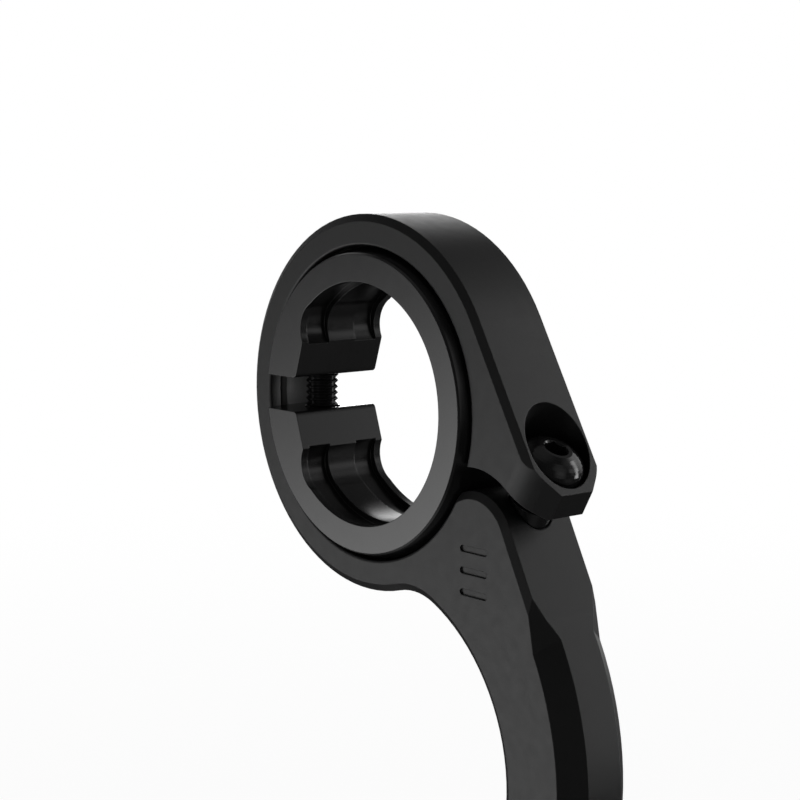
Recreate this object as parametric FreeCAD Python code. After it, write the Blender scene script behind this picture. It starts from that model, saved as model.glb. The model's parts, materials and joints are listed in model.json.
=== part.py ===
import FreeCAD, Part
import math
import os
from FreeCAD import Vector as V

# Handlebar mount for a cycling computer, in millimetres.
#
# A split ball collar grips a 31.8 mm handlebar. The ring of the arm is pinched round the ball
# through a split nylon race, and the far end of the arm carries a twist-lock cradle.
# Everything is drawn about the ball's centre, with Y along the bar, and is moved along X at the
# end, so that the origin lies on the bar's own axis: the bar sits a little off the ball's centre.

# ---- driving dimensions ----
BAR_R = 15.9                 # handlebar radius
BAR_OFFSET = 1.55            # bar axis from the ball's centre, towards +X

BALL_R = 22.8                # ball collar
COLLAR_HALF = 7.6
COLLAR_BORE_R = 17.5
COLLAR_EDGE = 0.15
LIP_WIDTH = 1.2
LAND_HALF = 2.5
GROOVE_DEPTH = 0.9
LAND_ANGLE = 62.0            # half angle of the land that is bored to the bar
GAP_HALF = 2.57
LOBE_NOSE_R = 0.8            # rounding where each lobe meets the gap
LOBE_RIDGE = (-12.7, 7.93)
LOBE_SLOPE = 72.1            # direction of the flat that bears on the bar
LOBE_WALL = (-13.15, 9.85)   # deepest point of the hollow behind the ridge
LOBE_TOP = 135.0             # direction in which that hollow runs into the bore
GROOVE_RUN = 0.35            # how far the relief grooves run down each flat from its ridge
GROOVE_WALL = (-13.95, 9.85)

SCREW_R = 2.5                # M5 screws, with the thread as ridges
THREAD_DEPTH = 0.45
THREAD_PITCH = 0.9
CLEARANCE_R = 2.75
FIT = 0.05                   # running clearance of the swivel

COLLAR_SCREW_X = -17.73
COLLAR_HEAD_R = 3.4
COLLAR_HEAD_H = 2.6
COLLAR_SEAT_Z = 4.4
COLLAR_WASHER_T = 0.6
COLLAR_SCREW_END = -9.4
COLLAR_INSERT_R = 3.1
COLLAR_INSERT_Z = (-8.8, -4.2)
KEY_HOLE_R = 2.4

RACE_HALF = 4.0
RACE_OUTER_R = 23.8
RACE_EDGE = 0.9              # bevel of its inner edges
RACE_LAND = 0.3              # flat that is left outside the bevel
RACE_SPLIT = (-31.0, -17.0)  # degrees, at the slot of the ring

RING_R = 27.0                # ring and arm
RING_HALF = 6.3
MOUTH_R = 22.55
MOUTH_EDGE_R = 0.35          # rounding of the mouth's outer edge
MOUTH_INNER_R = 22.95        # the mouth widens a little towards the race
EDGE_IN = 1.05               # chamfer of the outline, across the face
EDGE_DEEP = 0.65             # and through the width
SIDE_ANGLE = 29.5            # where the straight side leaves the ring
SLOT_CENTRE = (23.0, -16.8)  # the slot is an arc about this point
SHOULDER_R = 7.2
SLOT_UPPER_R = 10.5
SLOT_TURN = 48.0             # where the slot's upper wall goes straight
SHOULDER_LINE = 26.7         # direction of the normal of the shoulder's straight flank

INNER_CENTRE = (3.55, -49.9) # hollow side of the arm
INNER_R = 25.75
INNER_FILLET_R = 10.0
OUTER_CENTRE = (-3.5, -49.0) # round side of the arm
OUTER_R = 45.5
ARM_END_X = 14.5
BEVEL_IN = 2.6               # wide bevel of the round side
BEVEL_DEEP = 3.2
BEVEL_FACET = ((33.0, -6.0, -19.3), (36.6, -3.3, -28.0), (34.7, -6.3, -29.3))
BEVEL_FULL_Z = -45.0

PINCH_ANGLE = 61.0           # pinch screw axis, from +X towards +Z
PINCH_U = 29.85              # its distance from the ball's centre
EAR_END_U = 35.8
EAR_FLAT_HALF = 2.6          # flat of the ear's end, towards the front
EAR_FLAT_BACK = 3.2          # and towards the back
EAR_CORNER_R = 6.0
EAR_BOTTOM_R = 0.5           # rounding of the ear's bottom edge
PINCH_POCKET_R = 5.28
PINCH_SEAT = 9.2             # heights along the pinch screw's axis
PINCH_WASHER_T = 0.8
PINCH_HEAD_R = 4.75
PINCH_HEAD_H = 2.9
PINCH_HEAD_TOP_R = 2.3
PINCH_END = -8.0
PINCH_INSERT_R = 2.9
PINCH_INSERT_END = -6.5
PINCH_FLANGE = (1.7, 4.0)
PINCH_FLANGE_R = 3.15

PAD_Z = -82.0                # cradle pad, a disc that faces -X
PAD_R = 18.0
PAD_X = (9.0, 18.5)
PAD_CHAMFER = 1.0
SPIGOT_R = 14.2
RECESS_X = 12.0
INSERT_R = 15.6
INSERT_X = 5.5
LIP_X = 7.0
FLOOR_X = 9.5
ENTRY_R = 10.7
CAVITY_R = 13.0
KEYWAY_HALF = 3.8
FIX_Z = 6.5                  # screws of the twist-lock insert, from its centre
FIX_R = 1.5
FIX_HEAD_R = 2.6
FIX_HEAD_H = 1.2
FIX_LENGTH = 6.0
SLEEVE_R = 2.3
SLEEVE_X = (12.2, 16.4)
PLUNGER_R = 1.3
PLUNGER_Y = 8.4
PLUNGER_X = (8.7, 11.2)
PLUNGER_HOLE_END = 14.6
SPRING_R = 1.05
SPRING_WIRE_R = 0.16
SPRING_TURNS = 5
RING_GROOVE_R = 14.3
RUBBER_R = 0.7

MARK_CENTRE = (23.2, -20.6)  # three plain grooves on the shoulder's front face
MARK_PITCH = 3.0
MARK_HALF = 2.2
MARK_R = 0.45
MARK_DEPTH = 0.3

CUT = 1.0                    # how far a cutting shape runs past the face that it opens

Y = V(0, 1, 0)
X = V(1, 0, 0)
Z = V(0, 0, 1)
O = V(0, 0, 0)


# ---- helpers ----
def polar(centre, radius, degrees):
    """A point of the XZ plane, at an angle from +X towards +Z."""
    a = math.radians(degrees)
    return (centre[0] + radius * math.cos(a), centre[1] + radius * math.sin(a))


def angle_of(centre, point):
    return math.degrees(math.atan2(point[1] - centre[1], point[0] - centre[0]))


def flat(point, y):
    return V(point[0], y, point[1])


def line(a, b, y):
    return Part.makeLine(flat(a, y), flat(b, y))


def arc(centre, radius, start, end, y):
    """Arc in the XZ plane from one angle to the other, whichever way they run."""
    mid = (start + end) / 2
    points = [flat(polar(centre, radius, d), y) for d in (start, mid, end)]
    return Part.Arc(*points).toShape()


def circles_meet(c1, r1, c2, r2, side):
    """Where two circles cross, to the right (side 1) or left (side -1) of the line c1 to c2."""
    dx = c2[0] - c1[0]
    dz = c2[1] - c1[1]
    d = math.hypot(dx, dz)
    along = (r1 * r1 - r2 * r2 + d * d) / (2 * d)
    off = math.sqrt(r1 * r1 - along * along) * side
    return (c1[0] + (along * dx - off * dz) / d, c1[1] + (along * dz + off * dx) / d)


def cylinder(radius, start, end, axis):
    return Part.makeCylinder(radius, (end - start).Length, start, axis)


def tube(outer_r, inner_r, start, end, axis):
    hole = cylinder(inner_r, start - axis * CUT, end + axis * CUT, axis)
    return cylinder(outer_r, start, end, axis).cut(hole)


def along_y(radius, y0, y1, centre=(0, 0)):
    return Part.makeCylinder(radius, y1 - y0, flat(centre, y0), Y)


def along_x(radius, x0, x1, y=0, z=PAD_Z):
    return Part.makeCylinder(radius, x1 - x0, V(x0, y, z), X)


def turned(points, axis_point, axis):
    """Solid turned from (radius, height) points about an axis."""
    side = V(0, 1, 0) if abs(axis.y) < 0.5 else V(1, 0, 0)
    corners = [axis_point + side * r + axis * h for r, h in points]
    face = Part.Face(Part.makePolygon(corners + [corners[0]]))
    return face.revolve(axis_point, axis, 360)


def prism(points, y0, y1):
    corners = [flat(p, y0) for p in points]
    return Part.Face(Part.makePolygon(corners + [corners[0]])).extrude(V(0, y1 - y0, 0))


def pinch_dir():
    a = math.radians(PINCH_ANGLE)
    return V(math.cos(a), 0, math.sin(a))


def ear_dir():
    a = math.radians(PINCH_ANGLE - 90)
    return V(math.cos(a), 0, math.sin(a))


def on_pinch(height):
    """A point on the pinch screw's axis."""
    return pinch_dir() * height + ear_dir() * PINCH_U


def threaded(head, shank_top, end):
    """(radius, height) points of a screw whose shank has thread ridges down to its end."""
    points = [(0, head[-1][1])] + list(reversed(head))
    height = shank_top
    points.append((SCREW_R, height))
    while height - THREAD_PITCH > end + 0.6:
        points.append((SCREW_R - THREAD_DEPTH, height - THREAD_PITCH * 0.5))
        points.append((SCREW_R, height - THREAD_PITCH))
        height -= THREAD_PITCH
    points.append((SCREW_R - THREAD_DEPTH, end))
    points.append((0, end))
    return points


def hex_socket(centre, axis, across, depth):
    """Hexagonal hole that opens at centre and runs against axis."""
    side = V(0, 1, 0)
    other = axis.cross(side)
    radius = across / math.sqrt(3)
    corners = []
    for i in range(6):
        a = math.radians(60 * i)
        corners.append(centre + side * (radius * math.cos(a)) + other * (radius * math.sin(a)))
    hexagon = Part.Face(Part.makePolygon(corners + [corners[0]]))
    return hexagon.extrude(axis * -depth)


# ---- ball collar ----
def lobe_nose():
    """Rounded corner of a lobe, from the gap to the flat that bears on the bar."""
    slope = math.radians(LOBE_SLOPE)
    rise = LOBE_RIDGE[1] - GAP_HALF - LOBE_NOSE_R
    back = (LOBE_NOSE_R + rise * math.cos(slope)) / math.sin(slope)
    centre = (LOBE_RIDGE[0] - back, GAP_HALF + LOBE_NOSE_R)
    turn = LOBE_SLOPE
    return [polar(centre, LOBE_NOSE_R, -90 + turn * i / 5) for i in range(6)]


def circle_through(a, b, c):
    """Centre and radius of the circle through three points of the XZ plane."""
    circle = Part.Circle(flat(a, 0), flat(b, 0), flat(c, 0))
    return (circle.Center.x, circle.Center.z), circle.Radius


def collar_space(radius, run, deepest, y0, y1):
    """A bore less its two lobes, each with a hollow behind its ridge."""
    slope = math.radians(LOBE_SLOPE)
    ridge = (LOBE_RIDGE[0] - run * math.cos(slope), LOBE_RIDGE[1] - run * math.sin(slope))
    top = polar((0, 0), radius, LOBE_TOP)
    lobe = prism(lobe_nose() + [ridge, top, (-BALL_R, top[1]), (-BALL_R, GAP_HALF)], y0, y1)
    centre, hollow_r = circle_through(ridge, deepest, top)
    hollow = along_y(hollow_r, y0, y1, centre)
    space = along_y(radius, y0, y1).cut([lobe, lobe.mirror(O, Z)])
    return space.fuse([hollow, hollow.mirror(O, Z)])


def make_ball_collar():
    ball = Part.makeSphere(BALL_R, O, Y)
    body = ball.common(along_y(BALL_R + CUT, -COLLAR_HALF, COLLAR_HALF))
    face_r = math.sqrt(BALL_R ** 2 - COLLAR_HALF ** 2)
    for s in (1, -1):
        edge = [(face_r - COLLAR_EDGE, s * (COLLAR_HALF + 0.01)), (face_r + CUT, s * (COLLAR_HALF + 0.01)),
                (face_r + CUT, s * (COLLAR_HALF - CUT - 2 * COLLAR_EDGE))]
        body = body.cut(turned(edge, O, Y))
    body = body.cut(collar_space(COLLAR_BORE_R, 0, LOBE_WALL, -COLLAR_HALF - CUT, COLLAR_HALF + CUT))
    lip = COLLAR_HALF - LIP_WIDTH
    for y0, y1 in ((-lip, -LAND_HALF), (LAND_HALF, lip)):
        body = body.cut(collar_space(COLLAR_BORE_R + GROOVE_DEPTH, GROOVE_RUN, GROOVE_WALL, y0, y1))
    left = -BALL_R - CUT
    right = LOBE_RIDGE[0] + 3
    gap = [(left, -GAP_HALF), (right, -GAP_HALF), (right, GAP_HALF), (left, GAP_HALF)]
    body = body.cut(prism(gap, -COLLAR_HALF - CUT, COLLAR_HALF + CUT))
    body = body.fuse(make_bar_land()).removeSplitter()
    return cut_collar_holes(body)


def make_bar_land():
    """Middle land opposite the gap, bored to the bar."""
    centre = (BAR_OFFSET, 0)
    pie = [centre] + [polar(centre, BAR_R + 4, LAND_ANGLE * step) for step in (-1, -1 / 3, 1 / 3, 1)]
    land = along_y(COLLAR_BORE_R + 0.4, -LAND_HALF, LAND_HALF).common(prism(pie, -LAND_HALF, LAND_HALF))
    return land.cut(along_y(BAR_R, -LAND_HALF - CUT, LAND_HALF + CUT, centre))


def on_collar_screw(z):
    """A point on the collar screw's axis."""
    return V(COLLAR_SCREW_X, 0, z)


def key_way():
    """Hole through race and ring that lets a hex key reach the collar screw."""
    return cylinder(KEY_HOLE_R, on_collar_screw(COLLAR_SEAT_Z), on_collar_screw(RING_R + CUT), Z)


def cut_collar_holes(body):
    low, high = COLLAR_INSERT_Z
    holes = [cylinder(CLEARANCE_R, on_collar_screw(COLLAR_SCREW_END - 0.4), on_collar_screw(12), Z),
             cylinder(COLLAR_HEAD_R + 0.15, on_collar_screw(COLLAR_SEAT_Z), on_collar_screw(BALL_R), Z),
             cylinder(COLLAR_INSERT_R, on_collar_screw(low), on_collar_screw(high), Z)]
    return body.cut(holes)


def make_collar_screw():
    base = COLLAR_SEAT_Z + COLLAR_WASHER_T
    top = base + COLLAR_HEAD_H
    head = [(COLLAR_HEAD_R, base), (COLLAR_HEAD_R, top - 0.3), (COLLAR_HEAD_R - 0.3, top)]
    screw = turned(threaded(head, base, COLLAR_SCREW_END), on_collar_screw(0), Z)
    return screw.cut(hex_socket(on_collar_screw(top), Z, 4.0, 1.9))


def make_collar_washer():
    low = COLLAR_SEAT_Z
    high = COLLAR_SEAT_Z + COLLAR_WASHER_T
    return tube(COLLAR_HEAD_R, SCREW_R + 0.1, on_collar_screw(low), on_collar_screw(high), Z)


def make_collar_insert():
    low, high = COLLAR_INSERT_Z
    return tube(COLLAR_INSERT_R, SCREW_R + 0.02, on_collar_screw(low), on_collar_screw(high), Z)


# ---- swivel race ----
def make_swivel_race():
    race = along_y(RACE_OUTER_R, -RACE_HALF, RACE_HALF).cut(Part.makeSphere(BALL_R + FIT, O, Y))
    bevel_r = RACE_OUTER_R - RACE_LAND
    for s in (1, -1):
        edge = [(0, s * (RACE_HALF + CUT)), (bevel_r + CUT, s * (RACE_HALF + CUT)),
                (bevel_r - RACE_EDGE, s * (RACE_HALF - RACE_EDGE)), (0, s * (RACE_HALF - RACE_EDGE))]
        race = race.cut(turned(edge, O, Y))
    split = [(0, 0)] + [polar((0, 0), RING_R, d) for d in RACE_SPLIT]
    return race.cut([prism(split, -RACE_HALF - CUT, RACE_HALF + CUT), key_way()])


# ---- arm ----
def straight_side_meets_ear_end(inset):
    """Rim corner of the ear, where its end meets the straight side."""
    n = V(math.cos(math.radians(SIDE_ANGLE)), 0, math.sin(math.radians(SIDE_ANGLE)))
    height = (RING_R - inset - ear_dir().dot(n) * EAR_END_U) / pinch_dir().dot(n)
    point = pinch_dir() * height + ear_dir() * EAR_END_U
    return (point.x, point.z)


def ear_corner(start, degrees):
    """Bottom corner of the ear, where a line from start in that direction meets its end."""
    step = flat(polar((0, 0), 1, degrees), 0)
    length = (EAR_END_U - ear_dir().dot(flat(start, 0))) / ear_dir().dot(step)
    return polar(start, length, degrees)


def rounded_corner(a, b, c, radius, y):
    """Arc that rounds the corner b of the path a, b, c, with its two ends."""
    back = (flat(a, y) - flat(b, y)).normalize()
    on = (flat(c, y) - flat(b, y)).normalize()
    half = back.getAngle(on) / 2
    start = flat(b, y) + back * (radius / math.tan(half))
    end = flat(b, y) + on * (radius / math.tan(half))
    middle = flat(b, y) + (back + on).normalize() * (radius / math.sin(half) - radius)
    return Part.Arc(start, middle, end).toShape(), (start.x, start.z), (end.x, end.z)


def shoulder_meets_arc(inset):
    """Where the flank of the shoulder runs into the round side of the arm."""
    n = math.radians(SHOULDER_LINE)
    level = SLOT_CENTRE[0] * math.cos(n) + SLOT_CENTRE[1] * math.sin(n) + SHOULDER_R - inset
    foot = OUTER_CENTRE[0] * math.cos(n) + OUTER_CENTRE[1] * math.sin(n)
    radius = OUTER_R - inset
    off = math.degrees(math.acos((level - foot) / radius))
    return polar(OUTER_CENTRE, radius, SHOULDER_LINE + off), SHOULDER_LINE + off


def arm_outline(inset, y):
    """Closed outline of ring, ear, shoulder and arm, moved inwards by inset."""
    ring_r = RING_R - inset
    fillet_r = INNER_FILLET_R + inset
    inner_r = INNER_R + inset
    outer_r = OUTER_R - inset
    fillet = circles_meet((0, 0), ring_r + fillet_r, INNER_CENTRE, inner_r - fillet_r, 1)
    ring_end = angle_of((0, 0), fillet)
    edges = [arc((0, 0), ring_r, SIDE_ANGLE, ring_end + 360, y)]
    fillet_end = angle_of(INNER_CENTRE, fillet)
    edges.append(arc(fillet, fillet_r, ring_end + 180, fillet_end, y))
    inner_end = -math.degrees(math.acos((ARM_END_X - INNER_CENTRE[0]) / inner_r))
    edges.append(arc(INNER_CENTRE, inner_r, fillet_end, inner_end, y))
    outer_end = -math.degrees(math.acos((ARM_END_X - OUTER_CENTRE[0]) / outer_r))
    a = polar(INNER_CENTRE, inner_r, inner_end)
    b = polar(OUTER_CENTRE, outer_r, outer_end)
    edges.append(line(a, b, y))
    join, join_angle = shoulder_meets_arc(inset)
    edges.append(arc(OUTER_CENTRE, outer_r, outer_end, join_angle, y))
    shoulder_r = SHOULDER_R - inset
    edges.append(line(join, polar(SLOT_CENTRE, shoulder_r, SHOULDER_LINE), y))
    edges.append(arc(SLOT_CENTRE, shoulder_r, SHOULDER_LINE, 150, y))
    upper_r = SLOT_UPPER_R
    tip = polar(SLOT_CENTRE, upper_r, 122)
    edges.append(line(polar(SLOT_CENTRE, shoulder_r, 150), tip, y))
    edges.append(arc(SLOT_CENTRE, upper_r, 122, SLOT_TURN, y))
    start = polar(SLOT_CENTRE, upper_r, SLOT_TURN)
    corner = ear_corner(start, SLOT_TURN - 90)
    rim = straight_side_meets_ear_end(inset)
    rounding, before, after = rounded_corner(start, corner, rim, EAR_BOTTOM_R, y)
    edges.append(line(start, before, y))
    edges.append(rounding)
    edges.append(line(after, rim, y))
    edges.append(line(rim, polar((0, 0), ring_r, SIDE_ANGLE), y))
    return Part.Wire(edges)


def make_arm_blank():
    """The outline through the full width, with its narrow chamfer on both faces."""
    middle = RING_HALF - EDGE_DEEP
    core = Part.Face(arm_outline(0, -middle)).extrude(V(0, 2 * middle, 0))
    blank = core
    for s in (1, -1):
        edge = Part.makeLoft([arm_outline(0, s * middle), arm_outline(EDGE_IN, s * RING_HALF)], True, True)
        blank = blank.fuse(edge)
    return blank.removeSplitter()


def make_arm_bevel():
    """Wide bevel on the front edge of the round side, which starts as a slanting facet."""
    grow = 4.0
    slope = BEVEL_IN / BEVEL_DEEP
    far = RING_HALF + grow
    near = RING_HALF - BEVEL_DEEP - grow
    section = [(OUTER_R + grow * slope, -near), (OUTER_R + grow * slope, -far),
               (OUTER_R - BEVEL_IN - grow * slope, -far)]
    bevel = turned(section, flat(OUTER_CENTRE, 0), Y)
    p, q, r = [V(*point) for point in BEVEL_FACET]
    outward = (r - p).cross(q - p).normalize()
    facet = Part.makeCylinder(2 * OUTER_R, 2 * OUTER_R, p, outward)
    lower = Part.makeBox(2 * OUTER_R, 40, 80, V(0, -20, BEVEL_FULL_Z - 80))
    reach = Part.makeBox(60, 20, 100, V(ARM_END_X - CUT, -20, -110))
    return bevel.common(facet.fuse(lower)).common(reach)


def make_ear_corner(flat_half):
    """Everything in front of the ear's rounded corner and slanting facet."""
    run = RING_HALF - flat_half
    u0 = EAR_END_U - run
    back = EAR_CORNER_R * math.tan(math.radians(22.5))
    diag = back * math.sqrt(0.5)
    mid_u = u0 - back + EAR_CORNER_R * math.sin(math.radians(22.5))
    mid_y = -RING_HALF + EAR_CORNER_R * (1 - math.cos(math.radians(22.5)))
    base = pinch_dir() * 4.4

    def at(u, y):
        return base + ear_dir() * u + V(0, y, 0)

    start = at(u0 - back, -RING_HALF)
    bend = at(u0 + diag, -RING_HALF + diag)
    tip = at(EAR_END_U + 3, -flat_half + 3)
    out = at(EAR_END_U + 3, -RING_HALF - 3)
    home = at(u0 - back, -RING_HALF - 3)
    edges = [Part.Arc(start, at(mid_u, mid_y), bend).toShape(), Part.makeLine(bend, tip),
             Part.makeLine(tip, out), Part.makeLine(out, home), Part.makeLine(home, start)]
    return Part.Face(Part.Wire(edges)).extrude(pinch_dir() * 20)


def socket_space():
    """Everything that is bored out of the ring: two mouths and the groove of the race."""
    deep = RACE_HALF + FIT
    groove_r = RACE_OUTER_R + FIT
    outside = -RING_HALF - CUT
    front = [(0, outside), (MOUTH_R + MOUTH_EDGE_R, outside)]
    for degrees in (0, 30, 60, 90):
        across, deeper = polar((0, 0), MOUTH_EDGE_R, 90 - degrees)
        front.append((MOUTH_R + MOUTH_EDGE_R - across, -RING_HALF + MOUTH_EDGE_R - deeper))
    front += [(MOUTH_INNER_R, -deep), (groove_r, -deep)]
    back = [(radius, -y) for radius, y in reversed(front)]
    return turned(front + back, O, Y)


def mark_grooves():
    """Three short grooves with round ends, one above the other."""
    x, middle = MARK_CENTRE
    floor = -RING_HALF + MARK_DEPTH
    grooves = []
    for i in (-1, 0, 1):
        z = middle + i * MARK_PITCH
        corner = V(x - MARK_HALF, -RING_HALF - CUT, z - MARK_R)
        grooves.append(Part.makeBox(2 * MARK_HALF, MARK_DEPTH + CUT, 2 * MARK_R, corner))
        for s in (1, -1):
            grooves.append(along_y(MARK_R, -RING_HALF - CUT, floor, (x + s * MARK_HALF, z)))
    return grooves


def make_arm_frame():
    arm = make_arm_blank()
    bevel = make_arm_bevel()
    front = make_ear_corner(EAR_FLAT_HALF)
    back = make_ear_corner(EAR_FLAT_BACK).mirror(O, Y)
    arm = arm.cut([bevel, bevel.mirror(O, Y), front, back])
    pad = turned([(0, PAD_X[0]), (PAD_R, PAD_X[0]), (PAD_R, PAD_X[1] - PAD_CHAMFER),
                  (PAD_R - PAD_CHAMFER, PAD_X[1]), (0, PAD_X[1])], V(0, 0, PAD_Z), X)
    arm = arm.fuse(pad).removeSplitter()
    holes = [socket_space(), key_way(), along_x(SPIGOT_R + 0.05, PAD_X[0] - CUT, RECESS_X)]
    holes += pinch_holes() + mark_grooves()
    for s in (1, -1):
        holes.append(along_x(SLEEVE_R, RECESS_X - CUT, SLEEVE_X[1], 0, PAD_Z + s * FIX_Z))
        holes.append(along_x(PLUNGER_R + 0.03, RECESS_X - CUT, PLUNGER_HOLE_END, s * PLUNGER_Y))
    return arm.cut(holes)


def pinch_holes():
    """Pocket of the pinch screw's head, its clearance holes and the seat of its insert."""
    axis = pinch_dir()
    low, high = PINCH_FLANGE
    return [cylinder(PINCH_POCKET_R, on_pinch(PINCH_SEAT), on_pinch(22), axis),
            cylinder(CLEARANCE_R, on_pinch(PINCH_END - 0.8), on_pinch(12), axis),
            cylinder(PINCH_FLANGE_R + 0.2, on_pinch(low), on_pinch(high + 0.8), axis),
            cylinder(PINCH_INSERT_R, on_pinch(PINCH_INSERT_END), on_pinch(high), axis)]


# ---- pinch screw group ----
def make_pinch_screw():
    """Button-head screw: the head is a dome with a flat top round its socket."""
    base = PINCH_SEAT + PINCH_WASHER_T
    top = base + PINCH_HEAD_H
    head = [(PINCH_HEAD_R, base), (PINCH_HEAD_R, base + 0.35)]
    start = math.degrees(math.acos(PINCH_HEAD_TOP_R / PINCH_HEAD_R))
    rise = (PINCH_HEAD_H - 0.35) / math.sin(math.radians(start))
    for i in range(1, 9):
        a = math.radians(start * i / 8)
        head.append((PINCH_HEAD_R * math.cos(a), base + 0.35 + rise * math.sin(a)))
    screw = turned(threaded(head, base, PINCH_END), on_pinch(0), pinch_dir())
    lead = Part.makeCone(1.5, 1.8, 0.3, on_pinch(top - 0.25), pinch_dir())
    return screw.cut([hex_socket(on_pinch(top), pinch_dir(), 3.0, 2.0), lead])


def make_pinch_washer():
    top = PINCH_SEAT + PINCH_WASHER_T
    return tube(PINCH_HEAD_R, SCREW_R + 0.1, on_pinch(PINCH_SEAT), on_pinch(top), pinch_dir())


def make_pinch_insert():
    low, high = PINCH_FLANGE
    flange = tube(PINCH_FLANGE_R, SCREW_R + 0.02, on_pinch(low), on_pinch(high), pinch_dir())
    barrel = tube(PINCH_INSERT_R, SCREW_R + 0.02, on_pinch(PINCH_INSERT_END), on_pinch(high), pinch_dir())
    return barrel.fuse(flange).removeSplitter()


# ---- cradle ----
def make_cradle_insert():
    """Twist-lock socket: a round entry with two keyways, and a wider cavity behind its lip."""
    body = along_x(SPIGOT_R, PAD_X[0] - 0.5, RECESS_X)
    cap = [(0, INSERT_X), (INSERT_R - 0.8, INSERT_X), (INSERT_R, INSERT_X + 0.8), (INSERT_R, PAD_X[0])]
    cap.append((0, PAD_X[0]))
    body = body.fuse(turned(cap, V(0, 0, PAD_Z), X)).removeSplitter()
    corner = V(INSERT_X - CUT, -KEYWAY_HALF, PAD_Z - CAVITY_R)
    keyway = Part.makeBox(FLOOR_X - INSERT_X + CUT, 2 * KEYWAY_HALF, 2 * CAVITY_R, corner)
    keyway = keyway.common(along_x(CAVITY_R, INSERT_X - CUT, FLOOR_X))
    groove = along_x(RING_GROOVE_R + RUBBER_R, INSERT_X - CUT, INSERT_X + RUBBER_R)
    groove = groove.cut(along_x(RING_GROOVE_R - RUBBER_R, INSERT_X - 2 * CUT, INSERT_X + CUT))
    spaces = [along_x(ENTRY_R, INSERT_X - CUT, FLOOR_X), along_x(CAVITY_R, LIP_X, FLOOR_X), keyway, groove]
    for s in (1, -1):
        z = PAD_Z + s * FIX_Z
        spaces.append(along_x(FIX_R + 0.15, FLOOR_X - CUT, RECESS_X + CUT, 0, z))
        spaces.append(Part.makeCone(FIX_HEAD_R + 0.25, FIX_R + 0.1, FIX_HEAD_H + 0.15, V(FLOOR_X, 0, z), X))
        spaces.append(along_x(PLUNGER_R + 0.03, FLOOR_X - CUT, RECESS_X + CUT, s * PLUNGER_Y))
    return body.cut(spaces)


def make_friction_ring():
    """Rubber cord ring in the groove of the insert's face."""
    return Part.makeTorus(RING_GROOVE_R, RUBBER_R, V(INSERT_X, 0, PAD_Z), X)


def make_insert_screw(side):
    """Countersunk screw that holds the insert to the pad."""
    z = PAD_Z + side * FIX_Z
    top = FLOOR_X + 0.1
    end = top + FIX_LENGTH
    profile = [(0, top), (FIX_HEAD_R, top), (FIX_HEAD_R, top + 0.1), (FIX_R, top + FIX_HEAD_H),
               (FIX_R, end - 0.4), (FIX_R - 0.4, end), (0, end)]
    screw = turned(profile, V(0, 0, z), X)
    return screw.cut(hex_socket(V(top, 0, z), X * -1, 2.0, 0.9))


def make_insert_sleeve(side):
    """Threaded sleeve in the pad, which an insert screw goes into."""
    z = PAD_Z + side * FIX_Z
    return tube(SLEEVE_R, FIX_R + 0.02, V(SLEEVE_X[0], 0, z), V(SLEEVE_X[1], 0, z), X)


def make_plunger(side):
    """Round-nosed detent plunger that stands proud of the floor of the cavity."""
    x0, x1 = PLUNGER_X
    nose = Part.makeSphere(PLUNGER_R, V(x0 + PLUNGER_R, side * PLUNGER_Y, PAD_Z), X)
    body = along_x(PLUNGER_R, x0 + PLUNGER_R, x1, side * PLUNGER_Y)
    return body.fuse(nose).removeSplitter()


def make_spring(side):
    """Coil spring behind a plunger, as a stack of round turns."""
    x0 = PLUNGER_X[1] + SPRING_WIRE_R + 0.02
    x1 = PLUNGER_HOLE_END - SPRING_WIRE_R - 0.02
    pitch = (x1 - x0) / SPRING_TURNS
    helix = Part.makeHelix(pitch, x1 - x0, SPRING_R - SPRING_WIRE_R)
    circle = Part.Wire(Part.makeCircle(SPRING_WIRE_R, V(SPRING_R - SPRING_WIRE_R, 0, 0), Y))
    coil = Part.Wire(helix).makePipeShell([circle], True, True)
    coil.rotate(O, Y, 90)
    coil.translate(V(x0, side * PLUNGER_Y, PAD_Z))
    return coil


# ---- write every sub-part ----
def main():
    parts = {
        "ball_collar": make_ball_collar(),
        "collar_screw": make_collar_screw(),
        "collar_washer": make_collar_washer(),
        "collar_thread_insert": make_collar_insert(),
        "swivel_race": make_swivel_race(),
        "arm_frame": make_arm_frame(),
        "pinch_screw": make_pinch_screw(),
        "pinch_washer": make_pinch_washer(),
        "pinch_thread_insert": make_pinch_insert(),
        "cradle_insert": make_cradle_insert(),
        "friction_ring": make_friction_ring(),
    }
    for end, side in (("upper", 1), ("lower", -1)):
        parts["insert_screw_" + end] = make_insert_screw(side)
        parts["insert_sleeve_" + end] = make_insert_sleeve(side)
    for end, side in (("right", -1), ("left", 1)):
        parts["detent_plunger_" + end] = make_plunger(side)
        parts["detent_spring_" + end] = make_spring(side)
    os.makedirs("parts", exist_ok=True)
    for name, shape in parts.items():
        placed = shape.copy()
        placed.translate(V(-BAR_OFFSET, 0, 0))
        placed.exportStep("parts/" + name + ".step")
        print(name, len(placed.Solids), placed.isValid(), round(placed.Volume, 1))


main()
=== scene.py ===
"""Looks of a handlebar mount for a cycling computer: black anodised aluminium, nylon and black steel."""
import json
import math

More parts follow.
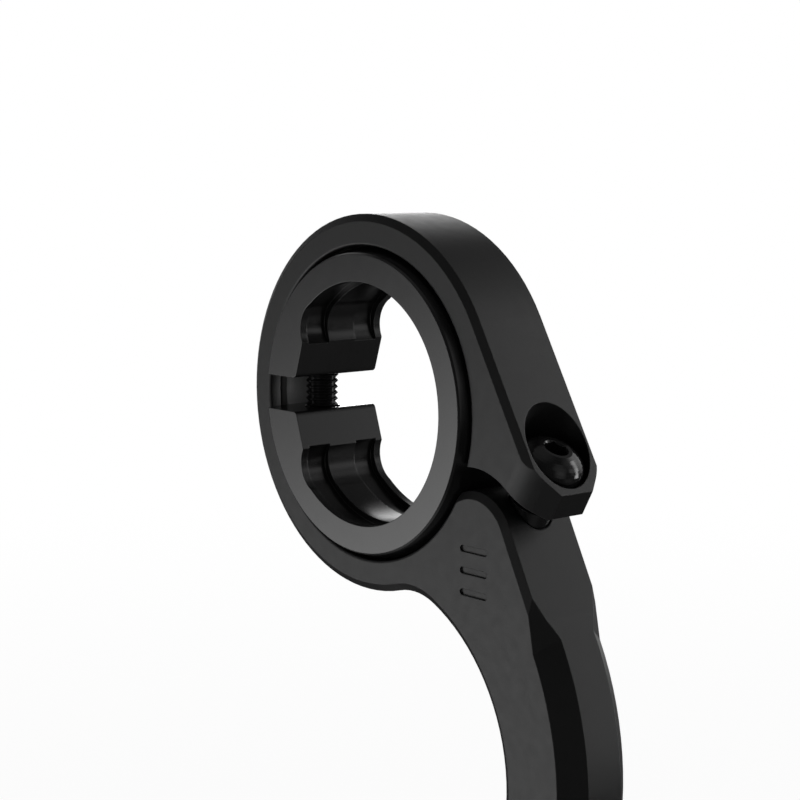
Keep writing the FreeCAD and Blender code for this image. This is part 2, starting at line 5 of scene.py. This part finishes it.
import bpy
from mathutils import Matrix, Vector


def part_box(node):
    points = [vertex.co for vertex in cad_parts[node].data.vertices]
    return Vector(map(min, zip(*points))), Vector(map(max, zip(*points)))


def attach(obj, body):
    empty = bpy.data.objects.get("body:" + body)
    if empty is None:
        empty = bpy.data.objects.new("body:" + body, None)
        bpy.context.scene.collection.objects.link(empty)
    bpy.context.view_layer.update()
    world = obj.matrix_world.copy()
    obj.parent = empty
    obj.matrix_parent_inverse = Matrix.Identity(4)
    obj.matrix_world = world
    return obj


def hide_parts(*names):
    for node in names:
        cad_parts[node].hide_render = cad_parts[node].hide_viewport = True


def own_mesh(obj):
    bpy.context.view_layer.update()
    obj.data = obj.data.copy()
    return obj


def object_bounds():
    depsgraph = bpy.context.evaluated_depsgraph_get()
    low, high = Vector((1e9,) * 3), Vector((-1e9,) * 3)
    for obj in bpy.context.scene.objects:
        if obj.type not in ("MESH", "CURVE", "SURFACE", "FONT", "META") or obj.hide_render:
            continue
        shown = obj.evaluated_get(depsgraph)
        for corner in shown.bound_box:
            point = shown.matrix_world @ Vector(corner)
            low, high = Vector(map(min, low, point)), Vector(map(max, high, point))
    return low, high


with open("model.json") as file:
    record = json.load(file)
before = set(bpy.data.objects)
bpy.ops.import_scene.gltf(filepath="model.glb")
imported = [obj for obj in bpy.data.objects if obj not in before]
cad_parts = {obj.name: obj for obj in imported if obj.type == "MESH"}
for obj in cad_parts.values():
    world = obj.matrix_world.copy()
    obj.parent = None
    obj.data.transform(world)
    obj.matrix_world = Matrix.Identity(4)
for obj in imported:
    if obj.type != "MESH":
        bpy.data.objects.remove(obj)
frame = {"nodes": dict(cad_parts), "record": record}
CAD_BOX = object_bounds()
NODES = frame["nodes"]
MM = 0.001

# ---- camera ----
EYE = Vector((195.85, -166.99, 32.88)) * MM
VIEW = (49.69, 7.24)            # azimuth and elevation in degrees
LENS = 80.9
NEAR_CLIP = 0.01                # metres

EDGE_SAMPLES = 6                # of each softened edge


# ---- node helpers ----
def add_node(tree, kind, links=(), **values):
    """A node with the given properties or inputs, and the given sockets linked in."""
    node = tree.nodes.new(kind)
    for key, value in values.items():
        if hasattr(node, key):
            setattr(node, key, value)
        else:
            node.inputs[key.replace("_", " ")].default_value = value
    for key, socket in links:
        tree.links.new(socket, node.inputs[key])
    return node


def new_tree(block):
    """The empty node tree of a new world or material."""
    block.use_nodes = True
    block.node_tree.nodes.clear()
    return block.node_tree


class Shader:
    """A Principled material and short ways to add procedural nodes to it."""

    def __init__(self, name, colour, roughness, metallic=0.0, specular=0.5):
        self.material = bpy.data.materials.new(name)
        self.material.use_nodes = True
        self.tree = self.material.node_tree
        self.bsdf = self.tree.nodes["Principled BSDF"]
        self.bsdf.inputs["Base Color"].default_value = (*colour, 1)
        self.bsdf.inputs["Roughness"].default_value = roughness
        self.bsdf.inputs["Metallic"].default_value = metallic
        self.bsdf.inputs["Specular IOR Level"].default_value = specular
        self.place = self.add("ShaderNodeTexCoord").outputs["Object"]

    def add(self, kind, links=(), **values):
        return add_node(self.tree, kind, links, **values)

    def noise(self, scale, detail=2.0, rough=0.5):
        links = [("Vector", self.place)]
        node = self.add("ShaderNodeTexNoise", links, Scale=scale, Detail=detail, Roughness=rough)
        return node.outputs["Fac"]

    def ramp(self, socket, stops):
        """Colour ramp from two (position, colour) pairs."""
        node = self.add("ShaderNodeValToRGB", [("Fac", socket)])
        for element, (position, colour) in zip(node.color_ramp.elements, stops):
            element.position = position
            element.color = (*colour, 1)
        return node.outputs["Color"]

    def spread(self, socket, low, high, from_low=0.3, from_high=0.7):
        """Maps a texture's middle range to low..high."""
        limits = {"From_Min": from_low, "From_Max": from_high, "To_Min": low, "To_Max": high}
        return self.add("ShaderNodeMapRange", [("Value", socket)], **limits).outputs["Result"]

    def mix(self, factor, low, high):
        """From the socket low to the colour high, by the socket factor."""
        node = self.add("ShaderNodeMix", data_type="RGBA")
        inputs = {socket.identifier: socket for socket in node.inputs}
        self.tree.links.new(factor, inputs["Factor_Float"])
        self.tree.links.new(low, inputs["A_Color"])
        inputs["B_Color"].default_value = (*high, 1)
        outputs = {socket.identifier: socket for socket in node.outputs}
        return outputs["Result_Color"]

    def edges(self, radius):
        """0 on flat surfaces, rising to 1 on edges sharper than the radius."""
        soft = self.add("ShaderNodeBevel", samples=EDGE_SAMPLES, Radius=radius)
        true = self.add("ShaderNodeNewGeometry")
        dot = self.add("ShaderNodeVectorMath", [(0, soft.outputs["Normal"]), (1, true.outputs["Normal"])],
                       operation="DOT_PRODUCT")
        return self.spread(dot.outputs["Value"], 1, 0, 0.86, 0.995)

    def bump(self, layers, radius):
        """Height layers of (socket, height in metres) on top of softened edges."""
        normal = self.add("ShaderNodeBevel", samples=EDGE_SAMPLES, Radius=radius).outputs["Normal"]
        for height, distance in layers:
            links = [("Height", height), ("Normal", normal)]
            normal = self.add("ShaderNodeBump", links, Strength=1.0, Distance=distance).outputs["Normal"]
        self.link(normal, "Normal")

    def link(self, socket, key):
        self.tree.links.new(socket, self.bsdf.inputs[key])


# ---- materials ----
def blasted_anodising():
    """Arm: black anodised aluminium with a fine blasted grain, and a painted highlight along its edges."""
    m = Shader("blasted_black_anodising", (0.0075, 0.0075, 0.0078), 0.42)
    edge = m.edges(0.18 * MM)
    cloud = m.noise(90, 4, 0.6)
    colour = m.ramp(cloud, [(0.35, (0.0074, 0.0074, 0.0078)), (0.65, (0.0084, 0.0083, 0.0084))])
    # Painted highlight: the edge mask turns the base colour lighter along every edge, standing in for light
    # catching the edges.
    m.link(m.mix(edge, colour, (0.030, 0.030, 0.0302)), "Base Color")
    m.link(m.spread(m.noise(620, 3), 0.40, 0.445), "Roughness")
    m.bump([(m.noise(5200, 2, 0.6), 0.006 * MM), (m.noise(1500, 2), 0.004 * MM)], 0.16 * MM)
    return m.material


def satin_anodising():
    """Ball collar: turned and satin black anodised, with faint lathe lines about the bar's axis."""
    m = Shader("satin_black_anodising", (0.0085, 0.0085, 0.0088), 0.3, specular=0.8)
    edge = m.edges(0.14 * MM)
    cloud = m.noise(110, 4, 0.6)
    colour = m.ramp(cloud, [(0.35, (0.0078, 0.0078, 0.0082)), (0.65, (0.0100, 0.0099, 0.0100))])
    # Painted highlight: the edge mask turns the base colour lighter along every edge, standing in for light
    # catching the edges.
    m.link(m.mix(edge, colour, (0.036, 0.036, 0.0362)), "Base Color")
    m.link(m.spread(m.noise(500, 3), 0.20, 0.235), "Roughness")
    lines = m.add("ShaderNodeTexWave", [("Vector", m.place)], wave_type="RINGS", rings_direction="Y",
                  Scale=1400, Distortion=1.5, Detail=2.0)
    m.bump([(lines.outputs["Fac"], 0.0005 * MM), (m.noise(6000, 2), 0.0008 * MM)], 0.12 * MM)
    return m.material


def black_oxide():
    """Screws, washers and inserts: black oxide on steel, smooth and a little oily."""
    m = Shader("black_oxide_steel", (0.012, 0.012, 0.0125), 0.13, specular=0.5)
    edge = m.edges(0.1 * MM)
    cloud = m.noise(700, 4, 0.6)
    colour = m.ramp(cloud, [(0.35, (0.0110, 0.0110, 0.0115)), (0.7, (0.0150, 0.0148, 0.0148))])
    # Painted highlight: the edge mask turns the base colour lighter along every edge, standing in for light
    # catching the edges.
    m.link(m.mix(edge, colour, (0.030, 0.030, 0.031)), "Base Color")
    m.link(m.spread(m.noise(1300, 3), 0.10, 0.14), "Roughness")
    m.bump([(m.noise(4000, 3, 0.6), 0.001 * MM)], 0.08 * MM)
    return m.material


def plain_steel():
    """Plungers, springs and sleeves: bright steel with fine draw marks along the cradle's axis."""
    m = Shader("plain_steel", (0.56, 0.56, 0.55), 0.3, metallic=1.0)
    stretch = m.add("ShaderNodeMapping", [("Vector", m.place)], Scale=(0.1, 1, 1))
    marks = m.add("ShaderNodeTexNoise", [("Vector", stretch.outputs["Vector"])], Scale=9000, Detail=2)
    m.link(m.ramp(marks.outputs["Fac"], [(0.3, (0.50, 0.50, 0.49)), (0.7, (0.62, 0.62, 0.61))]), "Base Color")
    m.link(m.spread(marks.outputs["Fac"], 0.24, 0.36), "Roughness")
    m.bump([(marks.outputs["Fac"], 0.002 * MM)], 0.06 * MM)
    return m.material


def moulded_nylon():
    """Race and twist-lock insert: glass-filled black nylon with a fine spark-eroded texture."""
    m = Shader("moulded_black_nylon", (0.018, 0.018, 0.018), 0.42)
    fibres = m.noise(2600, 4, 0.7)
    m.link(m.ramp(fibres, [(0.3, (0.0150, 0.0150, 0.0150)), (0.75, (0.0220, 0.0220, 0.0218))]), "Base Color")
    m.link(m.spread(m.noise(600, 3), 0.38, 0.48), "Roughness")
    m.bump([(m.noise(3000, 3, 0.6), 0.010 * MM)], 0.12 * MM)
    return m.material


def black_rubber():
    """Ring in the cradle's face: matt rubber with a little bloom."""
    m = Shader("black_rubber", (0.012, 0.012, 0.012), 0.72, specular=0.35)
    bloom = m.noise(400, 4)
    colour = m.ramp(bloom, [(0.35, (0.010, 0.010, 0.010)), (0.7, (0.018, 0.018, 0.0175))])
    m.link(colour, "Base Color")
    m.link(m.spread(m.noise(1200, 2), 0.64, 0.8), "Roughness")
    m.bump([(m.noise(2500, 3), 0.008 * MM)], 0.05 * MM)
    return m.material


FINISHES = {
    "anodised_arm": blasted_anodising,
    "anodised_collar": satin_anodising,
    "black_steel": black_oxide,
    "bright_steel": plain_steel,
    "black_nylon": moulded_nylon,
    "black_rubber": black_rubber,
}


def paint_nodes(finishes):
    """Gives every CAD node the finish of its material slot."""
    for part in frame["record"]["subparts"]:
        node = NODES[part["node"]]
        for slot in node.material_slots:
            slot.link = "OBJECT"
            slot.material = finishes[part["material_slot"]]


# ---- coil springs ----
WIRE_R = 0.16 * MM
ACTIVE_TURNS = 5
CLOSED_GAP = 1.02               # pitch of an end turn in wire widths
STEPS_PER_TURN = 28
WIRE_SIDES = 10


def coil_path(low, high):
    """Points of the wire's centre line: a closed turn at each end and open turns between them."""
    y, z = (low[1] + high[1]) / 2, (low[2] + high[2]) / 2
    radius = (high[1] - low[1]) / 2 - WIRE_R
    start, end = low[0] + WIRE_R, high[0] - WIRE_R
    closed = 2 * WIRE_R * CLOSED_GAP
    pitch = (end - start - 2 * closed) / ACTIVE_TURNS
    points = []
    x = start
    steps = (ACTIVE_TURNS + 2) * STEPS_PER_TURN
    for i in range(steps + 1):
        angle = 2 * math.pi * i / STEPS_PER_TURN
        points.append(Vector((x, y + radius * math.cos(angle), z + radius * math.sin(angle))))
        in_end_turn = i < STEPS_PER_TURN or i >= steps - STEPS_PER_TURN
        x += (closed if in_end_turn else pitch) / STEPS_PER_TURN
    return points, Vector((0, y, z))


def make_spring(side, steel):
    """Coil spring behind a plunger, built in place of the CAD spring and carried by the arm."""
    node = "detent_spring_" + side
    low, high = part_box(node)
    points, axis = coil_path(low, high)
    vertices = []
    for point in points:
        outward = Vector((0, point.y - axis.y, point.z - axis.z)).normalized()
        for k in range(WIRE_SIDES):
            a = 2 * math.pi * k / WIRE_SIDES
            vertices.append(point + outward * (WIRE_R * math.cos(a)) + Vector((WIRE_R * math.sin(a), 0, 0)))
    faces = [tuple(reversed(range(WIRE_SIDES)))]
    for i in range(len(points) - 1):
        for k in range(WIRE_SIDES):
            a = i * WIRE_SIDES + k
            b = i * WIRE_SIDES + (k + 1) % WIRE_SIDES
            faces.append((a, b, b + WIRE_SIDES, a + WIRE_SIDES))
    last = (len(points) - 1) * WIRE_SIDES
    faces.append(tuple(range(last, last + WIRE_SIDES)))
    mesh = bpy.data.meshes.new("coil_" + side)
    mesh.from_pydata(vertices, [], faces)
    mesh.validate()
    mesh.shade_smooth()
    mesh.materials.append(steel)
    spring = bpy.data.objects.new("coil_" + side, mesh)
    bpy.context.collection.objects.link(spring)
    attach(spring, "arm")
    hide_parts(node)
    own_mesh(spring)


# ---- stage ----
# Soft studio lights far away: direction (azimuth, elevation) and half angle in degrees, and strength.
SOFT_LIGHTS = {
    "front_left": ((-54, -20), 12, 1.8),
    "front_left_edge": ((-50, -12), 12, 0.85),
    "front": ((-38, -12), 12, 3.1),
    "front_high": ((-38, 14), 16, 1.0),
    "front_low": ((-28, -30), 14, 3.3),
    "front_left_low": ((-40, -30), 14, 0.8),
    "front_right": ((15, -8), 22, 1.2),
    "below_front": ((-30, -48), 20, 0.8),
    "bounce": ((0, -85), 38, 0.4),
    "top": ((0, 88), 35, 0.15),
    "left_back": ((-130, 5), 30, 1.7),
    "left_high": ((-115, 30), 30, 0.8),
    "left_back_high": ((-138, 22), 15, 0.85),
    "back_strip": ((-156, 6), 14, 3.5),
    "back": ((180, 20), 30, 0.85),
    "back_high": ((165, 30), 18, 0.5),
    "strip_low": ((151, -5), 12, 5.8),
    "strip_middle": ((154, 11), 11, 4.2),
    "strip_high": ((158, 27), 11, 2.9),
    "right_low": ((136, 16), 14, 0.6),
    "right_high": ((142, 36), 18, 0.2),
    "right": ((92, 5), 24, 0.35),
    "right_top": ((100, 30), 24, 0.3),
    "right_below": ((120, -25), 20, 0.12),
}
ROOM = 0.07                     # light from everywhere else

FLOOR_SIZE = 8                  # metres
FLOOR_GAP = 0.2 * MM            # below the part
FLOOR_NEAR = 0.02               # metres from its middle, where the floor starts to fade
FLOOR_FAR = 0.5                 # and where it is white
FLOOR_GLOW = 0.95               # how white it is in the middle

RIM_WAY = (-143, 7)             # azimuth and elevation in degrees
RIM_DISTANCE = 0.8              # metres
RIM_SIZE = (0.55, 0.12)
RIM_POWER = 1.2


def toward(direction):
    """Unit vector for an azimuth and elevation in degrees. Azimuth 0 is -Y and 90 is +X."""
    azimuth, elevation = [math.radians(d) for d in direction]
    level = math.cos(elevation)
    return Vector((math.sin(azimuth) * level, -math.cos(azimuth) * level, math.sin(elevation)))


def soft_light(tree, way, direction, half_angle, strength):
    """Brightness of one round light that fades out towards its edge."""
    dot = add_node(tree, "ShaderNodeVectorMath", [(0, way)], operation="DOT_PRODUCT")
    dot.inputs[1].default_value = toward(direction)
    fade = add_node(tree, "ShaderNodeMapRange", [("Value", dot.outputs["Value"])],
                    interpolation_type="SMOOTHSTEP", From_Min=math.cos(math.radians(half_angle)), From_Max=1,
                    To_Max=strength)
    return fade.outputs["Result"]


def make_world():
    """White to the camera; lit by the soft lights and the room."""
    world = bpy.data.worlds.new("studio")
    bpy.context.scene.world = world
    tree = new_tree(world)
    way = add_node(tree, "ShaderNodeTexCoord").outputs["Generated"]
    total = add_node(tree, "ShaderNodeValue").outputs[0]
    total.default_value = ROOM
    for light in SOFT_LIGHTS.values():
        lobe = soft_light(tree, way, *light)
        total = add_node(tree, "ShaderNodeMath", [(0, total), (1, lobe)], operation="ADD").outputs[0]
    lights = add_node(tree, "ShaderNodeBackground", [("Strength", total)])
    white = add_node(tree, "ShaderNodeBackground", Color=(1, 1, 1, 1))
    path = add_node(tree, "ShaderNodeLightPath")
    mix = add_node(tree, "ShaderNodeMixShader", [(0, path.outputs["Is Camera Ray"]), (1, lights.outputs[0]),
                                                 (2, white.outputs[0])])
    add_node(tree, "ShaderNodeOutputWorld", [("Surface", mix.outputs[0])])


def make_floor():
    """Pale floor under the part, which fades to white away from it."""
    bpy.ops.mesh.primitive_plane_add(size=FLOOR_SIZE, location=(0, 0, CAD_BOX[0][2] - FLOOR_GAP))
    floor = bpy.context.object
    floor.name = "floor"
    material = bpy.data.materials.new("pale_floor")
    tree = new_tree(material)
    place = add_node(tree, "ShaderNodeTexCoord")
    far = add_node(tree, "ShaderNodeVectorMath", [(0, place.outputs["Object"])], operation="LENGTH")
    fade = add_node(tree, "ShaderNodeMapRange", [("Value", far.outputs["Value"])],
                    interpolation_type="SMOOTHSTEP", From_Min=FLOOR_NEAR, From_Max=FLOOR_FAR,
                    To_Min=FLOOR_GLOW, To_Max=1)
    paint = add_node(tree, "ShaderNodeBsdfDiffuse", Color=(0.8, 0.8, 0.8, 1))
    glow = add_node(tree, "ShaderNodeEmission", Color=(1, 1, 1, 1), Strength=1)
    mix = add_node(tree, "ShaderNodeMixShader", [(0, fade.outputs["Result"]), (1, paint.outputs[0]),
                                                 (2, glow.outputs[0])])
    add_node(tree, "ShaderNodeOutputMaterial", [("Surface", mix.outputs[0])])
    floor.data.materials.append(material)
    floor.visible_glossy = False
    floor.visible_diffuse = False
    floor.visible_shadow = False


def make_rim_lamp():
    """Long low lamp behind the part on the left, which draws the bright line along its top."""
    lamp = bpy.data.lights.new("rim_lamp", "AREA")
    lamp.shape = "RECTANGLE"
    lamp.size, lamp.size_y = RIM_SIZE
    lamp.energy = RIM_POWER
    holder = bpy.data.objects.new("rim_lamp", lamp)
    out = toward(RIM_WAY)
    holder.location = out * RIM_DISTANCE
    holder.rotation_euler = out.to_track_quat("Z", "Y").to_euler()
    bpy.context.collection.objects.link(holder)


def make_camera():
    camera = bpy.data.objects.new("camera", bpy.data.cameras.new("camera"))
    camera.data.lens = LENS
    camera.data.clip_start = NEAR_CLIP
    camera.location = EYE
    camera.rotation_euler = toward(VIEW).to_track_quat("Z", "Y").to_euler()
    bpy.context.collection.objects.link(camera)
    bpy.context.scene.camera = camera


def main():
    finishes = {slot: make() for slot, make in FINISHES.items()}
    paint_nodes(finishes)
    for side in ("right", "left"):
        make_spring(side, finishes["bright_steel"])
    make_world()
    make_floor()
    make_rim_lamp()
    make_camera()
    bpy.context.scene.view_settings.view_transform = "Standard"


main()
